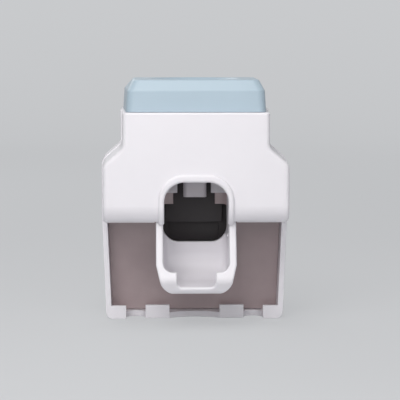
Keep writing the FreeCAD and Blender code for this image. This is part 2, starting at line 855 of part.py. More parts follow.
# front cover: a drafted shell with the arch opening and its raised rim
front_cover = new_body("front_cover")
pad(
    front_cover, "XZ", frame_front, cover_front,
    upper_outline(S.cover_reveal, S.cover_low, above_crown), draft=-S.cover_draft,
)
side_limit = S.side_half + S.overrun
cut(
    front_cover, "XY", S.crown_level, above_crown + S.overrun,
    box(-side_limit, -(cover_front + S.overrun), side_limit, -(frame_front - S.overrun)),
)
inner_inset = S.cover_reveal + S.cover_wall
cut(
    front_cover, "XZ", frame_front, cover_inside,
    upper_outline(inner_inset, S.cover_low + S.cover_wall, above_crown + S.overrun), draft=-S.cover_draft,
)
softened(
    front_cover, S.cover_foot_round - S.cover_wall,
    lambda edge: at_depth(edge, cover_inside) and middle(edge).z < S.side_level.value / 2,
)
softened(
    front_cover, S.cover_foot_round,
    lambda edge: at_depth(edge, cover_front) and middle(edge).z < S.side_level.value / 2,
)
softened(
    front_cover, S.cover_side_round,
    lambda edge: at_depth(edge, cover_front) and abs(middle(edge).x) > S.neck_half.value / 2,
)
neck_inside = S.neck_half - inner_inset
softened(
    front_cover, S.cover_crown_round,
    lambda edge: at_level(edge, S.crown_level) and not at_depth(edge, frame_front)
    and (abs(middle(edge).x) > neck_inside.value or middle(edge).y < -cover_inside.value - S.cover_wall.value / 2),
)
ledge_low = S.crown_level - S.ledge_thick
ledge_front = cover_inside + S.cover_wall / 2
ledge_rear_half = S.neck_half - S.cover_reveal - S.cover_wall / 2
ledge_front_half = ledge_rear_half - (ledge_front - frame_front) * slope(S.cover_draft)
pad(
    front_cover, "XY", ledge_low, S.crown_level,
    [
        (-ledge_front_half + S.cover_side_round, -ledge_front),
        (ledge_front_half - S.cover_side_round, -ledge_front),
        (ledge_front_half, -(ledge_front - S.cover_side_round)),
        (ledge_rear_half, -frame_front),
        (-ledge_rear_half, -frame_front),
        (-ledge_front_half, -(ledge_front - S.cover_side_round)),
    ],
)
cut(front_cover, "XY", ledge_low, S.crown_level, skirt_loop(-S.rest_gap))
low_corner = S.cover_low + S.cover_deep * slope(S.cover_draft)
rim_half = S.arch_half + S.rim_width
rim_curve = S.cover_foot_round + S.rim_raise
arm_slot_front = cup_front_at(low_corner) + S.arm_slot_front_gap
below_cover = S.cover_low - S.overrun * 2
rim_low = low_corner - S.rim_raise
pad(
    front_cover, "XZ", arm_slot_front, rim_front,
    arch_loop(rim_half, below_cover, S.arch_top + S.rim_crown, S.arch_round + S.rim_width),
    arch_loop(S.arch_half, below_cover + S.overrun, S.arch_top, S.arch_round),
)
cut(
    front_cover, "YZ", -(rim_half + S.overrun), rim_half + S.overrun,
    [
        (-rim_front, S.arch_top),
        (-rim_front, rim_low, rim_curve),
        (-(arm_slot_front - S.overrun), rim_low),
        (-(arm_slot_front - S.overrun), below_cover - S.overrun),
        (-(rim_front + S.overrun), below_cover - S.overrun),
        (-(rim_front + S.overrun), S.arch_top),
    ],
)
cut(
    front_cover, "XZ", arm_slot_front - S.overrun, rim_front + S.overrun,
    arch_loop(S.arch_half, below_cover, S.arch_top, S.arch_round),
)
arm_slot_half = S.cup_half + S.arm_slot_gap
cut(
    front_cover, "XY", below_cover, S.cover_low + S.cover_foot_round,
    box(-arm_slot_half, -arm_slot_front, arm_slot_half, -(frame_front - S.overrun)),
)
softened(
    front_cover, S.rim_round,
    lambda edge: at_depth(edge, rim_front),
)
cover_hole_end = web_rear + S.cover_screw_long + S.rest_gap
pad(front_cover, "XZ", frame_front, cover_inside, *[disc(x, z, S.boss_radius) for x, z in cover_spots[:2]])
pad(
    front_cover, "XZ", frame_front, cover_hole_end + S.cover_wall,
    *[disc(x, z, S.boss_radius) for x, z in cover_spots[2:]],
)
cut(
    front_cover, "XZ", frame_front, cover_hole_end,
    *[disc(x, z, S.cover_screw_radius + S.thread_gap) for x, z in cover_spots],
)

# pump chassis: wall, deck and shelf round the pump, and the cheeks that hold the hinge pin
pump_chassis = new_body("pump_chassis")
wall_low = S.panel_top + S.rest_gap
tab_low = ZERO
pad(
    pump_chassis, "XZ", web_front, chassis_front,
    box(-S.chassis_half, wall_low, S.chassis_half, S.chassis_top),
)
pad(
    pump_chassis, "XZ", panel_front, chassis_front,
    *pair(box(S.tab_inner, tab_low, S.tab_outer, wall_low)),
)
pad(
    pump_chassis, "XZ", panel_front, chassis_front,
    box(-S.tab_inner, S.shelf_level, S.tab_inner, wall_low),
)
deck_front = arm_rear - S.deck_play
nose_front = S.pivot_depth - S.pin_radius - S.nose_clear
deck_right = [
    (S.chassis_half, -chassis_front),
    (S.chassis_half, -deck_front),
    (S.deck_nose_half, -deck_front),
    (S.deck_nose_half, -nose_front),
]
pad(
    pump_chassis, "XY", S.deck_level, deck_top,
    deck_right + [(-corner[0], corner[1]) for corner in reversed(deck_right)],
)
pad(
    pump_chassis, "XY", S.shelf_level, shelf_top,
    box(-S.shelf_half, -presser_rear, S.shelf_half, -chassis_front),
)
cheek_loop = box(-(S.pivot_depth + S.cheek_end), S.cheek_low, -chassis_front, S.chassis_top)
pad(pump_chassis, "YZ", cheek_inner, S.chassis_half, cheek_loop)
pad(pump_chassis, "YZ", -S.chassis_half, -cheek_inner, cheek_loop)
collar_inner = S.collar_radius - S.collar_wall
turned(
    pump_chassis, "Revolution",
    box(collar_inner, deck_top, S.collar_radius, collar_top),
)
neck_bore = S.valve_radius + S.neck_gap
neck_radius = neck_bore + S.neck_wall
cut(pump_chassis, "XY", S.deck_level, deck_top, disc(ZERO, -S.axis_depth, S.inlet_radius))
cut(pump_chassis, "XY", S.shelf_level, shelf_top, disc(ZERO, -S.axis_depth, neck_radius + S.thread_gap))
flap_hinge_depth = S.axis_depth - S.flap_radius
flap_hinge_level = S.deck_level - S.flap_gap - S.flap_thick / 2
pad(
    pump_chassis, "XZ", flap_hinge_depth - S.ear_long / 2, flap_hinge_depth + S.ear_long / 2,
    *pair(box(S.ear_inner, S.deck_level - S.ear_drop, S.ear_inner + S.ear_thick, S.deck_level)),
)
ear_outer = S.ear_inner + S.ear_thick
cut(
    pump_chassis, "YZ", -ear_outer, ear_outer,
    disc(-flap_hinge_depth, flap_hinge_level, S.flap_knuckle + S.flap_pin_gap),
)
pin_bore = S.pin_radius + S.pin_gap
cut(
    pump_chassis, "YZ", -S.chassis_half, S.chassis_half,
    disc(-S.pivot_depth, S.pivot_level, pin_bore),
)
rod_spots = [(-S.rod_across, S.rod_level), (S.rod_across, S.rod_level)]
cut(
    pump_chassis, "XZ", chassis_front - S.rod_sunk, chassis_front,
    *[disc(x, z, S.rod_radius + S.rod_gap) for x, z in rod_spots],
)
cut(
    pump_chassis, "XZ", web_front, web_rear + S.chassis_screw_long + S.rest_gap,
    *[disc(x, z, S.chassis_screw_radius + S.thread_gap) for x, z in chassis_spots],
)
coil_outer = cheek_inner - S.spring_gap - S.spring_wire
still_leg_level = S.pivot_level + S.spring_mean
still_peg_level = still_leg_level + S.spring_wire + S.spring_gap + S.spring_peg
peg_reach = S.spring_leg - S.spring_peg * 2
for near, far in ((coil_outer - S.spring_wire * 2, cheek_inner), (-cheek_inner, -coil_outer + S.spring_wire * 2)):
    pad(pump_chassis, "YZ", near, far, disc(-(S.pivot_depth - peg_reach), still_peg_level, S.spring_peg))

# paste path: sleeve, seal ring, flap, bulb, duckbill valve and nozzle
inlet_sleeve = new_body("inlet_sleeve")
sleeve_radius = collar_inner - S.sleeve_gap
groove_radius = collar_inner - S.seal_wire * 2 - S.sleeve_gap
groove_half = S.seal_wire + S.sleeve_gap
flange_top = collar_top + S.sleeve_flange_thick
sleeve_top = S.sleeve_stop_level + S.sleeve_bore_long
turned(
    inlet_sleeve, "Revolution",
    [
        (S.inlet_radius, deck_top),
        (sleeve_radius, deck_top),
        (sleeve_radius, S.seal_level - groove_half),
        (groove_radius, S.seal_level - groove_half),
        (groove_radius, S.seal_level + groove_half),
        (sleeve_radius, S.seal_level + groove_half),
        (sleeve_radius, collar_top),
        (S.sleeve_flange, collar_top),
        (S.sleeve_flange, flange_top),
        (S.sleeve_tip_radius, sleeve_top),
        (S.sleeve_bore, sleeve_top),
        (S.sleeve_bore, S.sleeve_stop_level),
        (S.inlet_radius, S.sleeve_stop_level),
    ],
)

inlet_seal = doc.addObject("Part::Torus", "inlet_seal")
inlet_seal.Label = "inlet_seal"
tie(inlet_seal, "Radius1", collar_inner - S.seal_wire - S.sleeve_gap / 2)
tie(inlet_seal, "Radius2", S.seal_wire)
tie(inlet_seal, "Placement.Base.y", -S.axis_depth)
tie(inlet_seal, "Placement.Base.z", S.seal_level)

inlet_flap = new_body("inlet_flap")
flap_top = S.deck_level - S.flap_gap
pad(inlet_flap, "XY", flap_top - S.flap_thick, flap_top, disc(ZERO, -S.axis_depth, S.flap_radius))
pad(
    inlet_flap, "YZ", -(ear_outer - S.flap_pin_gap), ear_outer - S.flap_pin_gap,
    disc(-flap_hinge_depth, flap_hinge_level, S.flap_knuckle),
)

pump_bulb = new_body("pump_bulb")
turned(
    pump_bulb, "Revolution",
    box(S.bulb_radius - S.bulb_wall, shelf_top, S.bulb_radius, S.deck_level),
)

outlet_valve = new_body("outlet_valve")
valve_shoulder = S.valve_low + S.valve_tip
turned(
    outlet_valve, "Revolution",
    [
        (ZERO, S.valve_low),
        (S.valve_tip, S.valve_low),
        (S.valve_radius, valve_shoulder),
        (S.valve_radius, shelf_top),
        (S.valve_flange, shelf_top),
        (S.valve_flange, shelf_top + S.valve_flange_thick),
        (S.valve_bore, shelf_top + S.valve_flange_thick),
        (S.valve_bore, valve_shoulder),
        (ZERO, valve_shoulder),
    ],
)
cut(
    outlet_valve, "XY", S.valve_low, valve_shoulder,
    box(-S.valve_tip, -(S.axis_depth + S.valve_slit / 2), S.valve_tip, -(S.axis_depth - S.valve_slit / 2)),
)

outlet_nozzle = new_body("outlet_nozzle")
pad(
    outlet_nozzle, "XY", S.nozzle_low, S.shelf_level,
    box(
        -S.nozzle_half_width, -(S.axis_depth + S.nozzle_half_deep),
        S.nozzle_half_width, -(S.axis_depth - S.nozzle_half_deep), S.nozzle_round,
    ),
)
pad(outlet_nozzle, "XY", S.shelf_level, shelf_top, disc(ZERO, -S.axis_depth, neck_radius))
cut(
    outlet_nozzle, "XY", S.nozzle_low + S.nozzle_floor, shelf_top,
    disc(ZERO, -S.axis_depth, neck_bore),
)
mouth_deep = S.nozzle_mouth_deep
cut(
    outlet_nozzle, "XY", S.nozzle_low, S.nozzle_low + S.nozzle_floor,
    box(-S.nozzle_mouth_half, -(S.axis_depth + mouth_deep), S.nozzle_mouth_half, -(S.axis_depth - mouth_deep)),
)

# presser: slides on two rods and squeezes the bulb against the chassis wall
presser_plate = new_body("presser_plate")
pad(
    presser_plate, "XZ", presser_rear, presser_front,
    box(-S.presser_half, S.presser_low, S.presser_half, S.presser_high, S.presser_round),
)
cut(
    presser_plate, "XZ", presser_rear, presser_front,
    *[disc(x, z, S.rod_radius + S.rod_gap) for x, z in rod_spots],
)

guide_rods = new_body("guide_rods")
pad(
    guide_rods, "XZ", chassis_front - S.rod_sunk, presser_front + S.rod_proud,
    *[disc(x, z, S.rod_radius) for x, z in rod_spots],
)

# hinge: pin, clips and the bushes in the arms
hinge_pin = new_body("hinge_pin")
pivot = (-S.pivot_depth, S.pivot_level)
pin_half = S.chassis_half + S.pin_proud
clip_outer = S.chassis_half + S.clip_gap + S.clip_thick
groove_outer = clip_outer + S.clip_gap
pad(hinge_pin, "YZ", -pin_half, pin_half, disc(*pivot, S.pin_radius))
for near, far in ((S.chassis_half, groove_outer), (-groove_outer, -S.chassis_half)):
    cut(
        hinge_pin, "YZ", near, far,
        disc(*pivot, S.pin_radius + S.overrun), disc(*pivot, S.clip_seat_radius),
    )

pin_clips = new_body("pin_clips")
for near, far in ((clip_outer - S.clip_thick, clip_outer), (-clip_outer, S.clip_thick - clip_outer)):
    pad(pin_clips, "YZ", near, far, disc(*pivot, S.clip_radius), disc(*pivot, S.clip_seat_radius + S.pin_gap))
cut(
    pin_clips, "YZ", -clip_outer, clip_outer,
    box(
        -(S.pivot_depth + S.clip_mouth_half), S.pivot_level - S.clip_radius * 2,
        -(S.pivot_depth - S.clip_mouth_half), S.pivot_level,
    ),
)

pivot_bushes = new_body("pivot_bushes")
for near, far in ((cup_inner, S.cup_half), (-S.cup_half, -cup_inner)):
    pad(pivot_bushes, "YZ", near, far, disc(*pivot, S.bush_radius), disc(*pivot, pin_bore))
for near, far in ((S.cup_half, flange_outer), (-flange_outer, -S.cup_half)):
    pad(pivot_bushes, "YZ", near, far, disc(*pivot, S.bush_flange_radius), disc(*pivot, pin_bore))

# return springs: a still leg under the cheek's peg and a working leg behind the arm's peg


def biarc(start, start_way, end, end_way):
    """Two arcs that leave and arrive along the given unit directions."""
    chord = end - start
    ways = start_way + end_way
    bend = 2 * (1 - start_way.dot(end_way))
    along = chord.dot(ways)
    reach = (math.sqrt(along * along + bend * chord.dot(chord)) - along) / bend
    first = start + start_way * reach
    last = end - end_way * reach
    middle = (first + last) * 0.5
    return [bowed(start, first, middle), bowed(middle, last, end)]


def bowed(start, elbow, end):
    """The arc from start to end whose tangents meet at the elbow."""
    base = (start + end) * 0.5
    span = (end - start).Length / 2
    rise = elbow - base
    angle = math.atan2(rise.Length, span)
    top = base + rise.normalize() * (span * math.tan(angle / 2))
    return Part.Arc(start, top, end).toShape()


def least_gap(path):
    """Clear distance between stretches of the spring's wire that are half a turn or more apart."""
    points = path.discretize(Distance=S.spring_wire.value)
    apart = math.ceil(math.pi * S.spring_mean.value / S.spring_wire.value)
    pairs = ((a, b) for i, a in enumerate(points) for b in points[i + apart:])
    return min(a.distanceToPoint(b) for a, b in pairs) - 2 * S.spring_wire.value


def spring_shape(side):
    """One torsion spring round the hinge pin, on the right (side 1) or the left (side -1)."""
    quarter = math.pi / 2
    angles = [quarter * (1 + step) for step in range(spring_quarters + 1)]
    first, last = angles[0], angles[-1]
    mean = S.spring_mean.value
    climb = S.spring_pitch.value / (2 * math.pi)

    def place(angle):
        across = coil_outer.value - climb * (angle - quarter)
        return Vector(
            side * across,
            mean * math.cos(angle) - S.pivot_depth.value,
            mean * math.sin(angle) + S.pivot_level.value,
        )

    def way(angle):
        drift = 0 if angle in (first, last) else -side * climb
        return Vector(drift, -mean * math.sin(angle), mean * math.cos(angle)).normalize()

    free_start = place(first) - way(first) * S.spring_leg.value
    free_end = place(last) + way(last) * S.spring_leg.value
    edges = [Part.LineSegment(free_start, place(first)).toShape()]
    for a, b in zip(angles, angles[1:]):
        edges += biarc(place(a), way(a), place(b), way(b))
    edges.append(Part.LineSegment(place(last), free_end).toShape())
    section = Part.Wire(Part.Circle(free_start, way(first), S.spring_wire.value).toShape())
    path = Part.Wire(edges)
    print("return spring, least gap between turns", round(least_gap(path), 3))
    return path.makePipeShell([section], True, False)


return_springs = doc.addObject("Part::Feature", "return_springs")
return_springs.Label = "return_springs"
return_springs.Shape = Part.makeCompound([spring_shape(1), spring_shape(-1)])

# push cup: two arms on the hinge, joined by the bar that drives the presser, and the cup at their foot
push_cup = new_body("push_cup")
arm_top = S.pivot_level + S.arm_width / 2
pad(
    push_cup, "YZ", -S.cup_half, S.cup_half,
    [
        (-S.arm_front, arm_top, S.arm_round),
        (-S.arm_front, S.arm_front_level),
        (-S.cup_chin_depth, S.cup_chin_level, S.cup_chin_round),
        (-S.cup_toe_depth, S.cup_low, S.cup_toe_round),
        (-(S.cup_back + S.cup_heel_reach), S.cup_low, S.cup_heel_round),
        (-S.cup_back, S.cup_heel_level, S.cup_heel_round),
        (-S.cup_back, S.arm_waist_level),
        (-arm_rear, S.arm_elbow_level),
        (-arm_rear, arm_top, S.arm_round),
    ],
)
far_up = arm_top + S.overrun
cavity_rear = S.cup_back + S.cup_back_wall
scoop_level = S.cup_low + S.cup_floor
front_inside = S.cup_toe_depth - S.cup_front_wall / 2
cut(
    push_cup, "YZ", -cup_inner, cup_inner,
    [
        (-cavity_rear, S.cup_back_top + S.overrun),
        (-(cup_front_at(S.cup_back_top + S.overrun) - S.cup_front_wall), S.cup_back_top + S.overrun),
        (-(cup_front_at(S.cup_chin_level) - S.cup_front_wall), S.cup_chin_level),
        (-front_inside, scoop_level),
        (-cavity_rear, scoop_level, S.cup_scoop_round),
    ],
)
softened(
    push_cup, S.cup_chin_rise - S.cup_floor - S.cup_bed_gap,
    lambda edge: middle(edge).z < S.cup_back_top.value
    and all(
        close(abs(v.X), cup_inner.value) and (close(-v.Y, front_inside.value) or -v.Y < front_inside.value)
        for v in edge.Vertexes
    ),
)
cut(
    push_cup, "XZ", S.pivot_depth, S.cup_chin_depth + S.overrun,
    [
        (-cup_inner, far_up),
        (-cup_inner, S.cup_front_top, S.cup_front_round),
        (cup_inner, S.cup_front_top, S.cup_front_round),
        (cup_inner, far_up),
    ],
)
cut(
    push_cup, "XZ", front_inside - S.cup_scoop_round, S.cup_chin_depth + S.overrun,
    [
        (-S.notch_half, S.cup_front_top + S.overrun),
        (-S.notch_half, scoop_level, S.notch_round),
        (S.notch_half, scoop_level, S.notch_round),
        (S.notch_half, S.cup_front_top + S.overrun),
    ],
)
cut(
    push_cup, "XZ", S.cup_back - S.overrun, S.arm_front,
    [
        (-cup_inner, far_up),
        (-cup_inner, S.cup_back_top, S.cup_back_round),
        (cup_inner, S.cup_back_top, S.cup_back_round),
        (cup_inner, far_up),
    ],
)
far_out = S.cup_half + S.overrun
far_down = S.cup_low - S.overrun
cup_right = [
    (S.cup_foot_half, S.cup_low - S.cup_foot_sink, S.cup_foot_round),
    (S.cup_half, S.cup_taper_level),
    (S.cup_half, far_up),
]
cut(
    push_cup, "XZ", S.cup_back - S.overrun, S.cup_chin_depth + S.overrun,
    box(-far_out, far_down, far_out, far_up + S.overrun),
    cup_right + [(-corner[0], *corner[1:]) for corner in reversed(cup_right)],
)
softened(
    push_cup, S.rim_soft,
    lambda edge: all(close(-v.Y, cup_front_at(Length(v.Z, "")).value) for v in edge.Vertexes)
    and middle(edge).z < S.arm_front_level.value,
)
pad(push_cup, "YZ", -cup_inner, cup_inner, disc(-S.pivot_depth, S.bar_level, S.bar_radius))
cut(push_cup, "YZ", -S.cup_half, S.cup_half, disc(*pivot, S.bush_radius + S.pin_gap))
work_leg_depth = S.pivot_depth + S.spring_mean
work_peg_depth = work_leg_depth + S.spring_wire + S.spring_gap + S.spring_peg
work_leg_across = coil_outer - S.spring_pitch * spring_quarters / 4
peg_outer = work_leg_across + S.spring_wire * 2
for near, far in ((S.cup_half, peg_outer), (-peg_outer, -S.cup_half)):
    pad(push_cup, "YZ", near, far, disc(-work_peg_depth, S.pivot_level - peg_reach, S.spring_peg))

# bumpers on the cover's inside, which stop the arms at rest
lever_bumpers = new_body("lever_bumpers")
arm_middle = S.cup_half - S.cup_wall / 2
pad(
    lever_bumpers, "XZ", S.arm_front + S.bumper_gap, cover_inside,
    *pair(disc(arm_middle, S.bumper_level, S.bumper_radius)),
)

# top cap: a chamfered lid with a dished seat round its mouth, and a skirt that drops inside the crown
top_cap = new_body("top_cap")
cap_low = S.crown_level + S.cap_gap
cap_break = cap_low + S.cap_face
cap_top = cap_break + S.cap_rise


def cap_loop(inset):
    """The cap's plan, a little narrower in front, drawn in by an inset."""
    front = S.cap_half_front - inset
    rear = S.cap_half_rear - inset
    front_edge = -(S.cap_front - inset)
    rear_edge = -(S.cap_rear + inset)
    return [
        (-front, front_edge, S.cap_corner),
        (front, front_edge, S.cap_corner),
        (rear, rear_edge, S.cap_corner),
        (-rear, rear_edge, S.cap_corner),
    ]


def flat_loop(inset):
    """The flat on top of the cap."""
    half = S.cap_flat_half - inset
    chamfer = S.cap_face_draft + S.cap_chamfer_front + inset
    return box(-half, -(S.cap_front - chamfer), half, -(S.cap_rear + chamfer), S.cap_corner)


inside_break = cap_break - S.cap_wall / 2
inside_draft = S.cap_face_draft + S.cap_wall
lofted(top_cap, "Additive", [(cap_low, cap_loop(ZERO)), (cap_break, cap_loop(S.cap_face_draft))])
lofted(top_cap, "Additive", [(cap_break, cap_loop(S.cap_face_draft)), (cap_top, flat_loop(ZERO))])
softened(
    top_cap, S.cap_edge_round,
    lambda edge: at_level(edge, cap_break) or at_level(edge, cap_top),
)
lofted(top_cap, "Subtractive", [(cap_low, cap_loop(S.cap_wall)), (inside_break, cap_loop(inside_draft))])
lofted(top_cap, "Subtractive", [
    (inside_break, cap_loop(inside_draft)), (cap_top - S.cap_wall, flat_loop(S.cap_wall)),
])
dish_low = cap_top - S.dish_deep
cone_low = dish_low - S.cap_wall / 2
turned(
    top_cap, "Revolution",
    [
        (S.mouth_radius, cone_low),
        (S.mouth_radius + S.cap_wall, cone_low),
        (S.dish_radius + S.cap_wall / 2, cap_top - S.cap_wall),
        (S.dish_radius + S.cap_wall / 2, cap_top - S.cap_wall / 2),
        (S.mouth_radius, cap_top - S.cap_wall / 2),
    ],
)
turned(
    top_cap, "Groove",
    [
        (ZERO, cone_low - S.overrun),
        (S.mouth_radius, cone_low - S.overrun),
        (S.mouth_radius, dish_low),
        (S.dish_radius, cap_top),
        (S.dish_radius, cap_top + S.overrun),
        (ZERO, cap_top + S.overrun),
    ],
)
pad(
    top_cap, "XY", cap_low, cap_low + S.skirt_wall,
    cap_loop(S.cap_wall / 2), skirt_loop(S.skirt_wall),
)
pad(top_cap, "XY", cap_low - S.skirt_drop, cap_low, skirt_loop(ZERO), skirt_loop(S.skirt_wall))

cap_seal = new_body("cap_seal")
turned(
    cap_seal, "Revolution",
    box(
        S.mouth_radius - S.cap_seal_inset, cone_low - S.cap_seal_thick,
        S.mouth_radius - S.cap_seal_inset + S.cap_seal_wall, cone_low,
    ),
)

# screws, all driven from the back
screws("plate_screws", plate_spots, S.plate_screw_radius, rear_depth - S.screw_head_thick, S.plate_screw_long)
screws("cover_screws", cover_spots, S.cover_screw_radius, screw_seat, S.cover_screw_long)
screws("chassis_screws", chassis_spots, S.chassis_screw_radius, screw_seat, S.chassis_screw_long)

doc.recompute()
kinds = ("PartDesign::Body", "Part::Torus", "Part::Feature")
parts = [item for item in doc.Objects if item.TypeId in kinds]
broken = [item.Label for item in doc.Objects if "Invalid" in item.State or "Error" in item.State]
broken += [item.Label for item in parts if item.Shape.isNull() or not item.Shape.isValid()]
if broken:
    raise RuntimeError(f"failed: {broken}")
os.makedirs("parts", exist_ok=True)
for item in parts:
    item.Shape.exportStep(f"parts/{item.Label}.step")
    print(item.Label, len(item.Shape.Solids), round(item.Shape.Volume, 1))
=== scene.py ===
import json
import math

import bmesh
import bpy
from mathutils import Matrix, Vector


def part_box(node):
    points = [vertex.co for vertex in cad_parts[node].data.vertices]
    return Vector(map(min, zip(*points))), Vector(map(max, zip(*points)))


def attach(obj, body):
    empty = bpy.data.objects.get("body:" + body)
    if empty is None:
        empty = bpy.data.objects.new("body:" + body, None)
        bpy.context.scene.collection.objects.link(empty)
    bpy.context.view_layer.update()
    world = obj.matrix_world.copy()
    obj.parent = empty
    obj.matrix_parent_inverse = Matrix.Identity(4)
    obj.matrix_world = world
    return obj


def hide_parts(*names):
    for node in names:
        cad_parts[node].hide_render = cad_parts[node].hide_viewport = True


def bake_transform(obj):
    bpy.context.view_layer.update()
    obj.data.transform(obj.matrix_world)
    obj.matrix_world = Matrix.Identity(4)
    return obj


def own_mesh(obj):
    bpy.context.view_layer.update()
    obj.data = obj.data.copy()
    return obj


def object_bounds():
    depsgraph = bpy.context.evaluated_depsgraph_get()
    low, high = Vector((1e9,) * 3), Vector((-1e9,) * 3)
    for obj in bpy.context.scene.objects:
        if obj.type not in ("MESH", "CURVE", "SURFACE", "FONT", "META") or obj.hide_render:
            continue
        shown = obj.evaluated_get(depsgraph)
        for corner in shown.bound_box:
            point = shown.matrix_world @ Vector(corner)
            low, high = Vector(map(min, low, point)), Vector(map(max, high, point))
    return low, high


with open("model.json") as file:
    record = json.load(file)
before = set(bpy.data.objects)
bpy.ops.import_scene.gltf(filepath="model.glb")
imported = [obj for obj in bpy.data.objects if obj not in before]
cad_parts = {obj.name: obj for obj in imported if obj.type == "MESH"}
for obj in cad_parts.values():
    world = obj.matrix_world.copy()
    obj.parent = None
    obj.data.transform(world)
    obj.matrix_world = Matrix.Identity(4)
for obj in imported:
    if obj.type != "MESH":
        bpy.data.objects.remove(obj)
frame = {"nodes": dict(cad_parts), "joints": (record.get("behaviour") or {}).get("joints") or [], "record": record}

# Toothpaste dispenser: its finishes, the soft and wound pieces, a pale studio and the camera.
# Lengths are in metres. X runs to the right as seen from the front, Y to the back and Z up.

MM = 0.001
TURN = 2 * math.pi
nodes = frame["nodes"]
joints = {joint["name"]: joint for joint in frame["joints"]}
cad_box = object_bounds()
scene = bpy.context.scene
scene.view_settings.view_transform = "Standard"


# node trees

FLOAT = "NodeSocketFloat"
VECTOR = "NodeSocketVector"
MATERIAL = "NodeSocketMaterial"
GEOMETRY = "NodeSocketGeometry"
# the band that holds nearly all of a noise texture's values
NOISE_BAND = (0.3, 0.7)


def opaque(colour):
    return (*colour, 1.0)


class Graph:
    """Adds nodes to a tree, with sockets set or linked by name or number."""

    def __init__(self, tree):
        self.tree = tree

    def add(self, kind, feeds=None, **settings):
        node = self.tree.nodes.new(kind)
        for name, value in settings.items():
            setattr(node, name, value)
        for name, value in (feeds or {}).items():
            self.feed(node.inputs[name], value)
        return node

    def feed(self, socket, value):
        if isinstance(value, bpy.types.NodeSocket):
            self.tree.links.new(value, socket)
        else:
            socket.default_value = value

    def math(self, operation, *values, clamp=False):
        feeds = dict(enumerate(values))
        return self.add("ShaderNodeMath", feeds, operation=operation, use_clamp=clamp).outputs[0]

    def vector(self, operation, *values):
        return self.add("ShaderNodeVectorMath", dict(enumerate(values)), operation=operation).outputs[0]

    def measure(self, operation, *values):
        """A vector operation that gives a number, such as a length."""
        feeds = dict(enumerate(values))
        return self.add("ShaderNodeVectorMath", feeds, operation=operation).outputs["Value"]

    def place(self):
        return self.add("ShaderNodeTexCoord").outputs["Object"]

    def noise(self, coordinates, scale, detail=2.0, rough=0.5):
        feeds = {"Vector": coordinates, "Scale": scale, "Detail": detail, "Roughness": rough}
        return self.add("ShaderNodeTexNoise", feeds).outputs["Fac"]

    def spread(self, value, low, high, to_low, to_high):
        feeds = {"Value": value, "From Min": low, "From Max": high, "To Min": to_low, "To Max": to_high}
        return self.add("ShaderNodeMapRange", feeds).outputs["Result"]

    def blend(self, share, a, b):
        """A mix of two colours. The node repeats its sockets' names, so they go by number."""
        node = self.add("ShaderNodeMix", data_type="RGBA")
        for socket, value in ((node.inputs[0], share), (node.inputs[6], a), (node.inputs[7], b)):
            self.feed(socket, value)
        return node.outputs[2]

    def bump(self, shader, strength, distance, height, normal=None):
        """Feeds a shader's normal from a height, on top of another normal where one is given."""
        feeds = {"Strength": strength, "Distance": distance, "Height": height}
        if normal is not None:
            feeds["Normal"] = normal
        self.feed(shader.inputs["Normal"], self.add("ShaderNodeBump", feeds).outputs["Normal"])


def new_group(name, inputs, outputs, kind="ShaderNodeTree"):
    """A node group with named sockets, each given as {name: socket type}."""
    tree = bpy.data.node_groups.new(name, kind)
    for in_out, sockets in (("INPUT", inputs), ("OUTPUT", outputs)):
        for title, socket in sockets.items():
            tree.interface.new_socket(title, in_out=in_out, socket_type=socket)
    return Graph(tree), tree.nodes.new("NodeGroupInput").outputs, tree.nodes.new("NodeGroupOutput").inputs


def moulded_skin_group():
    """The skin of a moulded piece: fine grain, and slow changes of tone and gloss where it is handled."""
    graph, given, out = new_group(
        "moulded_skin",
        {"Grain Size": FLOAT, "Smudge Size": FLOAT, "Roughness": FLOAT, "Roughness Spread": FLOAT},
        {"Height": FLOAT, "Roughness": FLOAT, "Tone": FLOAT},
    )
    place = graph.place()
    grain = graph.noise(place, graph.math("DIVIDE", 1.0, given["Grain Size"]), detail=2.0, rough=0.55)
    smudge = graph.noise(place, graph.math("DIVIDE", 1.0, given["Smudge Size"]), detail=4.0, rough=0.6)
    swing = graph.math("MULTIPLY", graph.spread(smudge, *NOISE_BAND, -1.0, 1.0), given["Roughness Spread"])
    graph.feed(out["Height"], grain)
    graph.feed(out["Roughness"], graph.math("ADD", given["Roughness"], swing, clamp=True))
    graph.feed(out["Tone"], graph.spread(smudge, *NOISE_BAND, 0.0, 1.0))
    return graph.tree


def soft_edge_group():
    """The small radius that a mould leaves on every edge, and where it lies, as the mask for the painted edge
    highlight.
    """
    graph, given, out = new_group("soft_edge", {"Radius": FLOAT}, {"Normal": VECTOR, "Edge": FLOAT})
    rounded = graph.add("ShaderNodeBevel", {"Radius": given["Radius"]}, samples=8).outputs["Normal"]
    plain = graph.add("ShaderNodeNewGeometry").outputs["Normal"]
    on_flat, on_edge = 1.0, 0.75
    agreement = graph.measure("DOT_PRODUCT", rounded, plain)
    graph.feed(out["Normal"], rounded)
    graph.feed(out["Edge"], graph.spread(agreement, on_flat, on_edge, 0.0, 1.0))
    return graph.tree


moulded_skin = moulded_skin_group()
soft_edge = soft_edge_group()


# finishes

def new_material(name, **sockets):
    """A material, its tree and its shader, with the shader's plain values given by name."""
    material = bpy.data.materials.new(name)
    material.use_nodes = True
    graph = Graph(material.node_tree)
    shader = material.node_tree.nodes["Principled BSDF"]
    for title, value in sockets.items():
        shader.inputs[title.replace("_", " ")].default_value = value
    return material, graph, shader


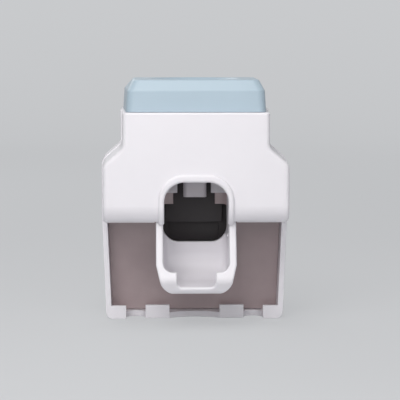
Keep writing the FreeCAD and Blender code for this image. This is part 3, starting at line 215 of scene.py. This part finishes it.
def moulded(name, deep, pale, grain=0.4 * MM, depth=0.004 * MM, smudge=20 * MM, rough=0.3, swing=0.05,
            radius=0.4 * MM, edge=0.25, **sockets):
    """A moulded plastic or rubber: two close tones, grain, changing gloss, small edge rounds and a painted
    highlight that lightens every edge.
    """
    material, graph, shader = new_material(name, **sockets)
    skin = graph.add(
        "ShaderNodeGroup",
        {"Grain Size": grain, "Smudge Size": smudge, "Roughness": rough, "Roughness Spread": swing},
        node_tree=moulded_skin,
    ).outputs
    round_off = graph.add("ShaderNodeGroup", {"Radius": radius}, node_tree=soft_edge).outputs
    tint = graph.blend(skin["Tone"], opaque(deep), opaque(pale))
    # painted highlight: the colour is lightened towards the pale tone along the rounded edges, where they would
    # catch the light
    painted_edge_highlight = graph.math("MULTIPLY", round_off["Edge"], edge)
    graph.feed(shader.inputs["Base Color"], graph.blend(painted_edge_highlight, tint, opaque(pale)))
    graph.feed(shader.inputs["Roughness"], skin["Roughness"])
    graph.bump(shader, strength=0.5, distance=depth, height=skin["Height"], normal=round_off["Normal"])
    return material


def drawn_steel():
    """Drawn stainless steel, with fine marks that run along X, as the hinge pin lies."""
    dark, bright = (0.42, 0.42, 0.43), (0.62, 0.62, 0.63)
    smoothest, roughest = 0.22, 0.4
    marks_per_metre = (600.0, 6000.0, 6000.0)
    material, graph, shader = new_material("steel", Metallic=1.0, Anisotropic=0.3)
    stretched = graph.vector("MULTIPLY", graph.place(), marks_per_metre)
    marks = graph.noise(stretched, scale=1.0, detail=3.0, rough=0.6)
    round_off = graph.add("ShaderNodeGroup", {"Radius": 0.1 * MM}, node_tree=soft_edge).outputs
    graph.feed(shader.inputs["Base Color"], graph.blend(marks, opaque(dark), opaque(bright)))
    graph.feed(shader.inputs["Roughness"], graph.spread(marks, *NOISE_BAND, smoothest, roughest))
    graph.bump(shader, strength=0.4, distance=0.004 * MM, height=marks, normal=round_off["Normal"])
    return material


def foam_tape():
    """Closed-cell foam: pale, dull and pitted, with painted shade that darkens the pits."""
    pit, deep, pale = (0.5, 0.5, 0.47), (0.62, 0.62, 0.59), (0.78, 0.78, 0.75)
    smoothest, roughest = 0.75, 0.95
    cells_per_metre, patches_per_metre = 3200.0, 160.0
    # a pit fades out between these two distances from its cell's middle, in cells
    pit_edge, cell_edge = 0.1, 0.6
    material, graph, shader = new_material("foam")
    place = graph.place()
    voronoi = graph.add("ShaderNodeTexVoronoi", {"Vector": place, "Scale": cells_per_metre})
    cells = voronoi.outputs["Distance"]
    patches = graph.noise(place, patches_per_metre, detail=3.0)
    tone = graph.blend(patches, opaque(deep), opaque(pale))
    # painted shade: the pit colour darkens the bump's hollows, where shade would fall
    pit_shade_mask = graph.spread(cells, pit_edge, cell_edge, 0.0, 1.0)
    graph.feed(shader.inputs["Base Color"], graph.blend(pit_shade_mask, opaque(pit), tone))
    graph.feed(shader.inputs["Roughness"], graph.spread(patches, *NOISE_BAND, smoothest, roughest))
    graph.bump(shader, strength=0.6, distance=0.06 * MM, height=cells)
    return material


# edge is the strength of each finish's painted highlight along its edges
MOULDINGS = {
    "white_plastic": dict(deep=(0.825, 0.805, 0.84), pale=(0.84, 0.82, 0.855), rough=0.32, swing=0.015),
    "blue_plastic": dict(deep=(0.41, 0.518, 0.595), pale=(0.425, 0.533, 0.61), rough=0.36, swing=0.015),
    "smoked_plastic": dict(
        deep=(0.42, 0.33, 0.335), pale=(0.48, 0.385, 0.39), grain=0.8 * MM, depth=0.002 * MM,
        smudge=30 * MM, rough=0.16, edge=0.1,
    ),
    # charcoal_plastic is painted shade: the back piece seen through the opening is made near black to stand for
    # the shadowed wall behind it
    "charcoal_plastic": dict(
        deep=(0.042, 0.036, 0.039), pale=(0.054, 0.047, 0.05), grain=0.6 * MM, depth=0.03 * MM,
        rough=0.55, swing=0.08,
    ),
    "grey_plastic": dict(deep=(0.48, 0.455, 0.48), pale=(0.52, 0.495, 0.52), rough=0.38, swing=0.06),
    "bearing_plastic": dict(
        deep=(0.68, 0.67, 0.63), pale=(0.74, 0.73, 0.70), rough=0.45, swing=0.06, radius=0.2 * MM,
    ),
    "silicone": dict(
        deep=(0.55, 0.55, 0.57), pale=(0.62, 0.62, 0.64), grain=0.5 * MM, depth=0.006 * MM,
        rough=0.48, swing=0.08, radius=0.3 * MM, Subsurface_Weight=0.25, Subsurface_Scale=3 * MM,
    ),
}
finishes = {name: moulded(name, **look) for name, look in MOULDINGS.items()}
finishes["steel"] = drawn_steel()
finishes["foam"] = foam_tape()


def dress(piece, finish):
    piece.data.materials.clear()
    piece.data.materials.append(finishes[finish])


for entry in frame["record"]["subparts"]:
    dress(nodes[entry["node"]], entry["material_slot"])


# soft and wound pieces

def new_piece(name, mesh, finish, stands_for):
    """A piece that is seen in place of a CAD node."""
    piece = bpy.data.objects.new(name, mesh)
    scene.collection.objects.link(piece)
    dress(piece, finish)
    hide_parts(stands_for)
    return piece


def tube_of_rings(name, rings, capped):
    """A skin through rings of equally many points, capped at both ends or closed on itself."""
    shell = bmesh.new()
    loops = [[shell.verts.new(point) for point in ring] for ring in rings]
    follow = list(zip(loops, loops[1:])) + ([] if capped else [(loops[-1], loops[0])])
    for low, high in follow:
        for i in range(len(low)):
            j = (i + 1) % len(low)
            shell.faces.new((low[i], low[j], high[j], high[i])).smooth = True
    if capped:
        shell.faces.new(reversed(loops[0]))
        shell.faces.new(loops[-1])
    bmesh.ops.recalc_face_normals(shell, faces=shell.faces)
    mesh = bpy.data.meshes.new(name)
    shell.to_mesh(mesh)
    shell.free()
    return mesh


def foam_pad():
    """The adhesive pad: cut foam whose edge draws in a little between its two faces."""
    low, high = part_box("adhesive_pad")
    corner = 4 * MM
    corner_steps = 10
    deepest_draw = 0.18 * MM
    # share of the way from the back face to the bracket, and share of the deepest draw there
    bow = ((0.0, 0.0), (0.12, 0.45), (0.3, 0.85), (0.5, 1.0), (0.7, 0.85), (0.88, 0.45), (1.0, 0.0))
    rings = []
    for share, draw in bow:
        reach = corner - deepest_draw * draw
        ring = []
        # the corners in turn: right top, left top, left bottom and right bottom
        for quarter in range(4):
            side = 1 if quarter in (0, 3) else -1
            top = 1 if quarter in (0, 1) else -1
            centre_x = side * (high.x - corner)
            centre_z = top * (high.z - corner)
            for step in range(corner_steps + 1):
                angle = TURN / 4 * (quarter + step / corner_steps)
                ring.append((
                    centre_x + reach * math.cos(angle),
                    high.y + (low.y - high.y) * share,
                    centre_z + reach * math.sin(angle),
                ))
        rings.append(ring)
    mesh = tube_of_rings("foam_pad", rings, capped=True)
    pad = new_piece("foam_pad", mesh, "foam", "adhesive_pad")
    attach(pad, "wall_mount")


def silicone_bulb():
    """The pump bulb, a fixed barrel of silicone with a bead at each end; in the dispenser it gives way to the
    presser.
    """
    low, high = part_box("pump_bulb")
    radius = (high.x - low.x) / 2
    axis_y = (low.y + high.y) / 2
    tall = high.z - low.z
    wall = 1.9 * MM
    bead = 1.4 * MM
    end_ease = 0.25 * MM
    waist_depth = 0.75 * MM
    waist_from_end = 2.2 * bead
    waist_spread = 1.1 * bead
    rows, around = 36, 64

    def swell(level):
        """Outer radius at a height above the foot: a bead at the ends, a waist beside it and a belly."""
        end = min(level, tall - level)
        if end < bead:
            return radius - end_ease * (1 - end / bead) ** 2
        return radius - waist_depth * math.exp(-((end - waist_from_end) / waist_spread) ** 2)

    levels = [tall * row / rows for row in range(rows + 1)]
    outer = [(swell(level), level) for level in levels]
    inner = [(swell(level) - wall, level) for level in reversed(levels)]
    angles = [TURN * step / around for step in range(around)]
    rings = [
        [(reach * math.cos(angle), axis_y + reach * math.sin(angle), low.z + level) for angle in angles]
        for reach, level in outer + inner
    ]
    mesh = tube_of_rings("silicone_bulb", rings, capped=False)
    bulb = new_piece("silicone_bulb", mesh, "silicone", "pump_bulb")
    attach(bulb, "housing")
    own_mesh(bulb)


def spring_tree():
    """Torsion spring by rule: a straight leg, a coil about X and a second straight leg."""
    graph, given, out = new_group(
        "torsion_spring",
        {
            "Mean Radius": FLOAT, "Wire Radius": FLOAT, "Pitch": FLOAT, "Turns": FLOAT, "Leg": FLOAT,
            "Inwards": FLOAT, "Start": VECTOR, "Finish": MATERIAL,
        },
        {"Geometry": GEOMETRY},
        "GeometryNodeTree",
    )
    points_along, points_around = 240, 12
    # the run along the wire is 0 where the coil starts, so it is below 0 on the first leg
    coil = graph.math("MULTIPLY", graph.math("MULTIPLY", given["Turns"], TURN), given["Mean Radius"])
    whole = graph.math("ADD", coil, graph.math("MULTIPLY", given["Leg"], 2.0))
    share = graph.math("DIVIDE", graph.add("GeometryNodeInputIndex").outputs[0], float(points_along - 1))
    run = graph.math("SUBTRACT", graph.math("MULTIPLY", share, whole), given["Leg"])
    on_coil = graph.math("MINIMUM", graph.math("MAXIMUM", run, 0.0), coil)
    off_coil = graph.math("SUBTRACT", run, on_coil)
    turned = graph.math("DIVIDE", on_coil, given["Mean Radius"])
    sine = graph.math("SINE", turned)
    cosine = graph.math("COSINE", turned)
    across = graph.math("MULTIPLY", graph.math("MULTIPLY", turned, 1 / TURN), given["Pitch"])
    round_y = graph.math("MULTIPLY", sine, given["Mean Radius"])
    round_z = graph.math("MULTIPLY", cosine, given["Mean Radius"])
    straight_y = graph.math("MULTIPLY", cosine, off_coil)
    straight_z = graph.math("MULTIPLY", sine, off_coil)
    spot = graph.add(
        "ShaderNodeCombineXYZ",
        {
            "X": graph.math("MULTIPLY", across, given["Inwards"]),
            "Y": graph.math("MULTIPLY", graph.math("ADD", round_y, straight_y), -1.0),
            "Z": graph.math("SUBTRACT", round_z, straight_z),
        },
    ).outputs[0]
    line = graph.add("GeometryNodeCurvePrimitiveLine").outputs[0]
    wire = graph.add("GeometryNodeResampleCurve", {"Curve": line, "Count": points_along}).outputs[0]
    placed = graph.add(
        "GeometryNodeSetPosition", {"Geometry": wire, "Position": graph.vector("ADD", spot, given["Start"])}
    ).outputs[0]
    section = graph.add(
        "GeometryNodeCurvePrimitiveCircle", {"Resolution": points_around, "Radius": given["Wire Radius"]}
    ).outputs[0]
    tube = graph.add(
        "GeometryNodeCurveToMesh", {"Curve": placed, "Profile Curve": section, "Fill Caps": True}
    ).outputs[0]
    smooth = graph.add("GeometryNodeSetShadeSmooth", {"Geometry": tube}).outputs[0]
    real = graph.add("GeometryNodeRealizeInstances", {"Geometry": smooth}).outputs[0]
    dressed = graph.add("GeometryNodeSetMaterial", {"Geometry": real, "Material": given["Finish"]})
    graph.feed(out["Geometry"], dressed.outputs[0])
    return graph.tree


def coil_springs():
    """The return springs at the lever's pivot, made as fixed wire shapes; in the dispenser the housing holds each
    one's outer leg and the lever turns its inner leg.
    """
    tree = spring_tree()
    sockets = {item.name: item.identifier for item in tree.interface.items_tree if item.in_out == "INPUT"}
    pivot = Vector(joints["lever_press"]["pos_m"])
    # the wire's radius, the coil's advance in each turn and its turns
    wire, pitch, turns = 0.25 * MM, 0.95 * MM, 2.25
    mean_radius, leg = 2.2 * MM, 7 * MM
    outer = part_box("return_springs")[1].x - wire
    for name, side in (("coil_spring_right", 1.0), ("coil_spring_left", -1.0)):
        holder = bpy.data.objects.new(name, bpy.data.meshes.new(name))
        scene.collection.objects.link(holder)
        modifier = holder.modifiers.new(name, "NODES")
        modifier.node_group = tree
        start = Vector((side * outer, pivot.y, pivot.z))
        for title, value in {
            "Mean Radius": mean_radius, "Wire Radius": wire, "Pitch": pitch, "Turns": turns, "Leg": leg,
            "Inwards": -side, "Start": start, "Finish": finishes["steel"],
        }.items():
            modifier[sockets[title]] = value
        mesh = bpy.data.meshes.new_from_object(holder.evaluated_get(bpy.context.evaluated_depsgraph_get()))
        bpy.data.objects.remove(holder)
        spring = new_piece(name, mesh, "steel", "return_springs")
        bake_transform(spring)


foam_pad()
silicone_bulb()
coil_springs()


# studio

PAPER_GLOW = opaque((0.6, 0.61, 0.625))
PAPER_COLOUR = opaque((0.66, 0.67, 0.685))
SKY_COLOUR = opaque((0.95, 0.97, 1.0))
SKY_LEVEL = 0.27
LAMPS_AIM = Vector((0, -0.03, 0))
WARM = (1.0, 0.985, 0.97)
ROSE = (1.0, 0.985, 0.985)
PLAIN = (1.0, 1.0, 1.0)
# each lamp's name, place, width, watts and tint
LAMPS = (
    ("key", (-0.13, -0.42, 0.38), 0.3, 1.24, WARM),
    ("top", (-0.05, -0.16, 0.56), 0.3, 0.75, ROSE),
    ("front", (-0.1, -0.6, 0.05), 0.4, 0.72, ROSE),
    ("fill", (0.25, -0.5, 0.25), 0.4, 0.3, ROSE),
    ("back", (-0.3, 0.7, 0.5), 0.5, 1.1, PLAIN),
)


def shown_ray(graph):
    """1 for rays that show the studio: straight to the camera, mirrored or through something clear."""
    path = graph.add("ShaderNodeLightPath").outputs
    mirrored = graph.math("MAXIMUM", path["Is Glossy Ray"], path["Is Transmission Ray"])
    return graph.math("MAXIMUM", path["Is Camera Ray"], mirrored)


def paper():
    """Paper that takes the part's shadow, turns to an even glow further off and is clear from behind."""
    near, far = 0.3, 2.0
    near_glow, far_glow = 0.7, 1.0
    material, graph, shader = new_material("studio_paper", Roughness=0.8)
    shader.inputs["Base Color"].default_value = PAPER_COLOUR
    away = graph.measure("LENGTH", graph.place())
    seen = graph.math("MULTIPLY", shown_ray(graph), graph.spread(away, near, far, near_glow, far_glow))
    glow = graph.add("ShaderNodeEmission", {"Color": PAPER_GLOW}).outputs[0]
    lit = graph.add("ShaderNodeMixShader", {0: seen, 1: shader.outputs[0], 2: glow}).outputs[0]
    behind = graph.add("ShaderNodeNewGeometry").outputs["Backfacing"]
    clear = graph.add("ShaderNodeBsdfTransparent").outputs[0]
    mixed = graph.add("ShaderNodeMixShader", {0: behind, 1: lit, 2: clear}).outputs[0]
    graph.feed(material.node_tree.nodes["Material Output"].inputs["Surface"], mixed)
    return material


def studio_sweep():
    """A pale floor that curves up into a backdrop well behind."""
    gap_below_part = 0.1 * MM
    floor = cad_box[0].z - gap_below_part
    near, bend, radius, top, half = -8.0, 1.2, 0.9, 4.0, 8.0
    bend_steps = 16
    angles = [TURN / 4 * step / bend_steps for step in range(bend_steps + 1)]
    curve = [(bend + radius * math.sin(angle), floor + radius * (1 - math.cos(angle))) for angle in angles]
    profile = [(near, floor), *curve, (bend + radius, top)]
    sheet = bmesh.new()
    rows = [[sheet.verts.new((x, y, z)) for x in (-half, half)] for y, z in profile]
    for low, high in zip(rows, rows[1:]):
        sheet.faces.new((low[0], low[1], high[1], high[0])).smooth = True
    mesh = bpy.data.meshes.new("studio_sweep")
    sheet.to_mesh(mesh)
    sheet.free()
    mesh.materials.append(paper())
    sweep = bpy.data.objects.new("studio_sweep", mesh)
    scene.collection.objects.link(sweep)


def soft_lamp(name, place, width, watts, tint):
    """A round lamp that faces the part."""
    lamp = bpy.data.lights.new(name, "AREA")
    lamp.shape = "DISK"
    lamp.size = width
    lamp.energy = watts
    lamp.color = tint
    holder = bpy.data.objects.new(name, lamp)
    scene.collection.objects.link(holder)
    holder.location = place
    holder.rotation_euler = (LAMPS_AIM - holder.location).to_track_quat("-Z", "Y").to_euler()


def sky():
    """Even light from all round, which the camera sees as the pale of the paper."""
    world = bpy.data.worlds.new("studio_sky")
    scene.world = world
    world.use_nodes = True
    graph = Graph(world.node_tree)
    light = world.node_tree.nodes["Background"]
    light.inputs["Color"].default_value = SKY_COLOUR
    light.inputs["Strength"].default_value = SKY_LEVEL
    pale = graph.add("ShaderNodeBackground", {"Color": PAPER_GLOW}).outputs[0]
    mixed = graph.add("ShaderNodeMixShader", {0: shown_ray(graph), 1: light.outputs[0], 2: pale}).outputs[0]
    graph.feed(world.node_tree.nodes["World Output"].inputs["Surface"], mixed)


def photo_camera():
    """The photograph's view: a long lens, slightly from the left and from above."""
    azimuth, elevation, distance = math.radians(-1.4), math.radians(5.5), 0.75
    target = Vector((0, -0.05, 0))
    picture_width = 400
    pixel = 0.426 * MM
    pixels_off_centre = 4
    back = Vector((
        math.sin(azimuth) * math.cos(elevation),
        -math.cos(azimuth) * math.cos(elevation),
        math.sin(elevation),
    ))
    data = bpy.data.cameras.new("camera")
    data.sensor_width = 36
    data.lens = data.sensor_width * distance / (pixel * picture_width)
    data.shift_x = pixels_off_centre / picture_width
    data.clip_start = 0.01
    camera = bpy.data.objects.new("camera", data)
    scene.collection.objects.link(camera)
    camera.location = target + back * distance
    camera.rotation_euler = (-back).to_track_quat("-Z", "Y").to_euler()
    scene.camera = camera


studio_sweep()
for lamp in LAMPS:
    soft_lamp(*lamp)
sky()
photo_camera()
